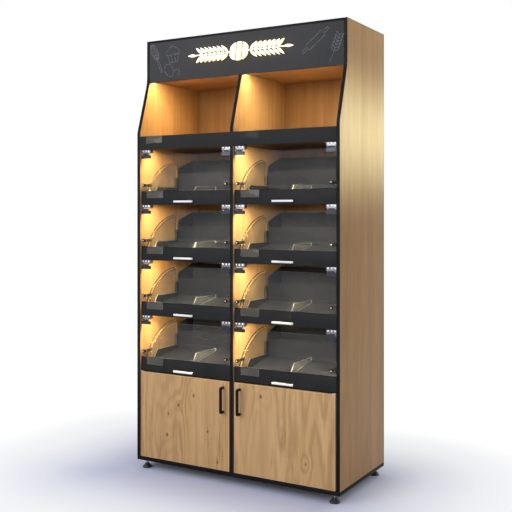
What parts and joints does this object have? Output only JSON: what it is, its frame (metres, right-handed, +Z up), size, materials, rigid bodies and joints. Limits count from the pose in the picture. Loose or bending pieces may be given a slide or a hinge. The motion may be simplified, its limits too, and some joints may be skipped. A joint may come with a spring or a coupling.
{
  "type": "bakery bread display rack",
  "caption": "Freestanding oak and graphite bakery rack with open loaf bins, lit bread cells behind clear lift-up flaps, crumb drawers and a low cupboard.",
  "frame": {"origin": "middle of the footprint at floor level, halfway between the door handles' front and the back edge", "axes": "+Z up, -Y towards the customer (front), +X to the customer's right"},
  "size_m": [1.2, 0.592, 2.32],
  "materials": {
    "oak": "satin",
    "black_edge": "satin",
    "graphite": "satin",
    "graphite_board": "matte",
    "black_steel": "satin",
    "black_plastic": "matte",
    "tray_steel": "satin",
    "bearer_steel": "satin",
    "clear_sheet": "polished",
    "clear_label": "polished",
    "chrome": "polished",
    "steel": "brushed",
    "white_pull": "satin",
    "strip_aluminium": "satin",
    "strip_light": "satin"
  },
  "bodies": {
    "carcase": {"base_frame": "black_steel", "levelling_feet": "black_plastic", "side_panel_left": "oak", "side_panel_right": "oak", "edge_bands": "black_edge", "centre_divider": "oak", "shelf_boards": "oak", "bottom_boards": "oak", "cupboard_shelves": "oak", "top_boards": "oak", "fascia_board": "graphite_board", "bin_rail": "graphite_board", "back_panel": "oak", "led_profiles": "strip_aluminium", "led_diffusers": "strip_light", "bread_trays": "tray_steel", "riser_trays": "tray_steel", "tray_bearers": "bearer_steel", "side_guards": "clear_sheet", "tray_dividers": "clear_sheet", "hinge_mounts": "chrome", "rail_label_holders": "clear_label", "door_pivots": "steel"},
    "flap_left_1": {"flap_pane_left_1": "clear_sheet", "flap_fittings_left_1": "chrome"},
    "flap_left_2": {"flap_pane_left_2": "clear_sheet", "flap_fittings_left_2": "chrome"},
    "flap_left_3": {"flap_pane_left_3": "clear_sheet", "flap_fittings_left_3": "chrome"},
    "flap_left_4": {"flap_pane_left_4": "clear_sheet", "flap_fittings_left_4": "chrome"},
    "flap_right_1": {"flap_pane_right_1": "clear_sheet", "flap_fittings_right_1": "chrome"},
    "flap_right_2": {"flap_pane_right_2": "clear_sheet", "flap_fittings_right_2": "chrome"},
    "flap_right_3": {"flap_pane_right_3": "clear_sheet", "flap_fittings_right_3": "chrome"},
    "flap_right_4": {"flap_pane_right_4": "clear_sheet", "flap_fittings_right_4": "chrome"},
    "crumb_drawer_left_1": {"crumb_drawer_left_1": "graphite", "drawer_pull_left_1": "white_pull"},
    "crumb_drawer_left_2": {"crumb_drawer_left_2": "graphite", "drawer_pull_left_2": "white_pull"},
    "crumb_drawer_left_3": {"crumb_drawer_left_3": "graphite", "drawer_pull_left_3": "white_pull"},
    "crumb_drawer_left_4": {"crumb_drawer_left_4": "graphite", "drawer_pull_left_4": "white_pull"},
    "crumb_drawer_right_1": {"crumb_drawer_right_1": "graphite", "drawer_pull_right_1": "white_pull"},
    "crumb_drawer_right_2": {"crumb_drawer_right_2": "graphite", "drawer_pull_right_2": "white_pull"},
    "crumb_drawer_right_3": {"crumb_drawer_right_3": "graphite", "drawer_pull_right_3": "white_pull"},
    "crumb_drawer_right_4": {"crumb_drawer_right_4": "graphite", "drawer_pull_right_4": "white_pull"},
    "door_left": {"door_left": "oak", "door_handle_left": "black_steel"},
    "door_right": {"door_right": "oak", "door_handle_right": "black_steel"}
  },
  "joints": [
    {"name": "flap_left_1_hinge", "type": "hinge", "parent": "carcase", "child": "flap_left_1", "pos_m": [-0.2955, -0.252, 0.80125], "axis": [-1, 0, 0], "range_deg": [0, 80]},
    {"name": "flap_left_2_hinge", "type": "hinge", "parent": "carcase", "child": "flap_left_2", "pos_m": [-0.2955, -0.252, 1.0995], "axis": [-1, 0, 0], "range_deg": [0, 80]},
    {"name": "flap_left_3_hinge", "type": "hinge", "parent": "carcase", "child": "flap_left_3", "pos_m": [-0.2955, -0.252, 1.39775], "axis": [-1, 0, 0], "range_deg": [0, 80]},
    {"name": "flap_left_4_hinge", "type": "hinge", "parent": "carcase", "child": "flap_left_4", "pos_m": [-0.2955, -0.252, 1.696], "axis": [-1, 0, 0], "range_deg": [0, 80]},
    {"name": "flap_right_1_hinge", "type": "hinge", "parent": "carcase", "child": "flap_right_1", "pos_m": [0.2955, -0.252, 0.80125], "axis": [-1, 0, 0], "range_deg": [0, 80]},
    {"name": "flap_right_2_hinge", "type": "hinge", "parent": "carcase", "child": "flap_right_2", "pos_m": [0.2955, -0.252, 1.0995], "axis": [-1, 0, 0], "range_deg": [0, 80]},
    {"name": "flap_right_3_hinge", "type": "hinge", "parent": "carcase", "child": "flap_right_3", "pos_m": [0.2955, -0.252, 1.39775], "axis": [-1, 0, 0], "range_deg": [0, 80]},
    {"name": "flap_right_4_hinge", "type": "hinge", "parent": "carcase", "child": "flap_right_4", "pos_m": [0.2955, -0.252, 1.696], "axis": [-1, 0, 0], "range_deg": [0, 80]},
    {"name": "crumb_drawer_left_1_slide", "type": "slide", "parent": "carcase", "child": "crumb_drawer_left_1", "axis": [0, -1, 0], "range_m": [0, 0.3]},
    {"name": "crumb_drawer_left_2_slide", "type": "slide", "parent": "carcase", "child": "crumb_drawer_left_2", "axis": [0, -1, 0], "range_m": [0, 0.3]},
    {"name": "crumb_drawer_left_3_slide", "type": "slide", "parent": "carcase", "child": "crumb_drawer_left_3", "axis": [0, -1, 0], "range_m": [0, 0.3]},
    {"name": "crumb_drawer_left_4_slide", "type": "slide", "parent": "carcase", "child": "crumb_drawer_left_4", "axis": [0, -1, 0], "range_m": [0, 0.3]},
    {"name": "crumb_drawer_right_1_slide", "type": "slide", "parent": "carcase", "child": "crumb_drawer_right_1", "axis": [0, -1, 0], "range_m": [0, 0.3]},
    {"name": "crumb_drawer_right_2_slide", "type": "slide", "parent": "carcase", "child": "crumb_drawer_right_2", "axis": [0, -1, 0], "range_m": [0, 0.3]},
    {"name": "crumb_drawer_right_3_slide", "type": "slide", "parent": "carcase", "child": "crumb_drawer_right_3", "axis": [0, -1, 0], "range_m": [0, 0.3]},
    {"name": "crumb_drawer_right_4_slide", "type": "slide", "parent": "carcase", "child": "crumb_drawer_right_4", "axis": [0, -1, 0], "range_m": [0, 0.3]},
    {"name": "door_left_hinge", "type": "hinge", "parent": "carcase", "child": "door_left", "pos_m": [-0.568, -0.257, 0.295], "axis": [0, 0, -1], "range_deg": [0, 105]},
    {"name": "door_right_hinge", "type": "hinge", "parent": "carcase", "child": "door_right", "pos_m": [0.568, -0.257, 0.295], "axis": [0, 0, 1], "range_deg": [0, 105]}
  ]
}
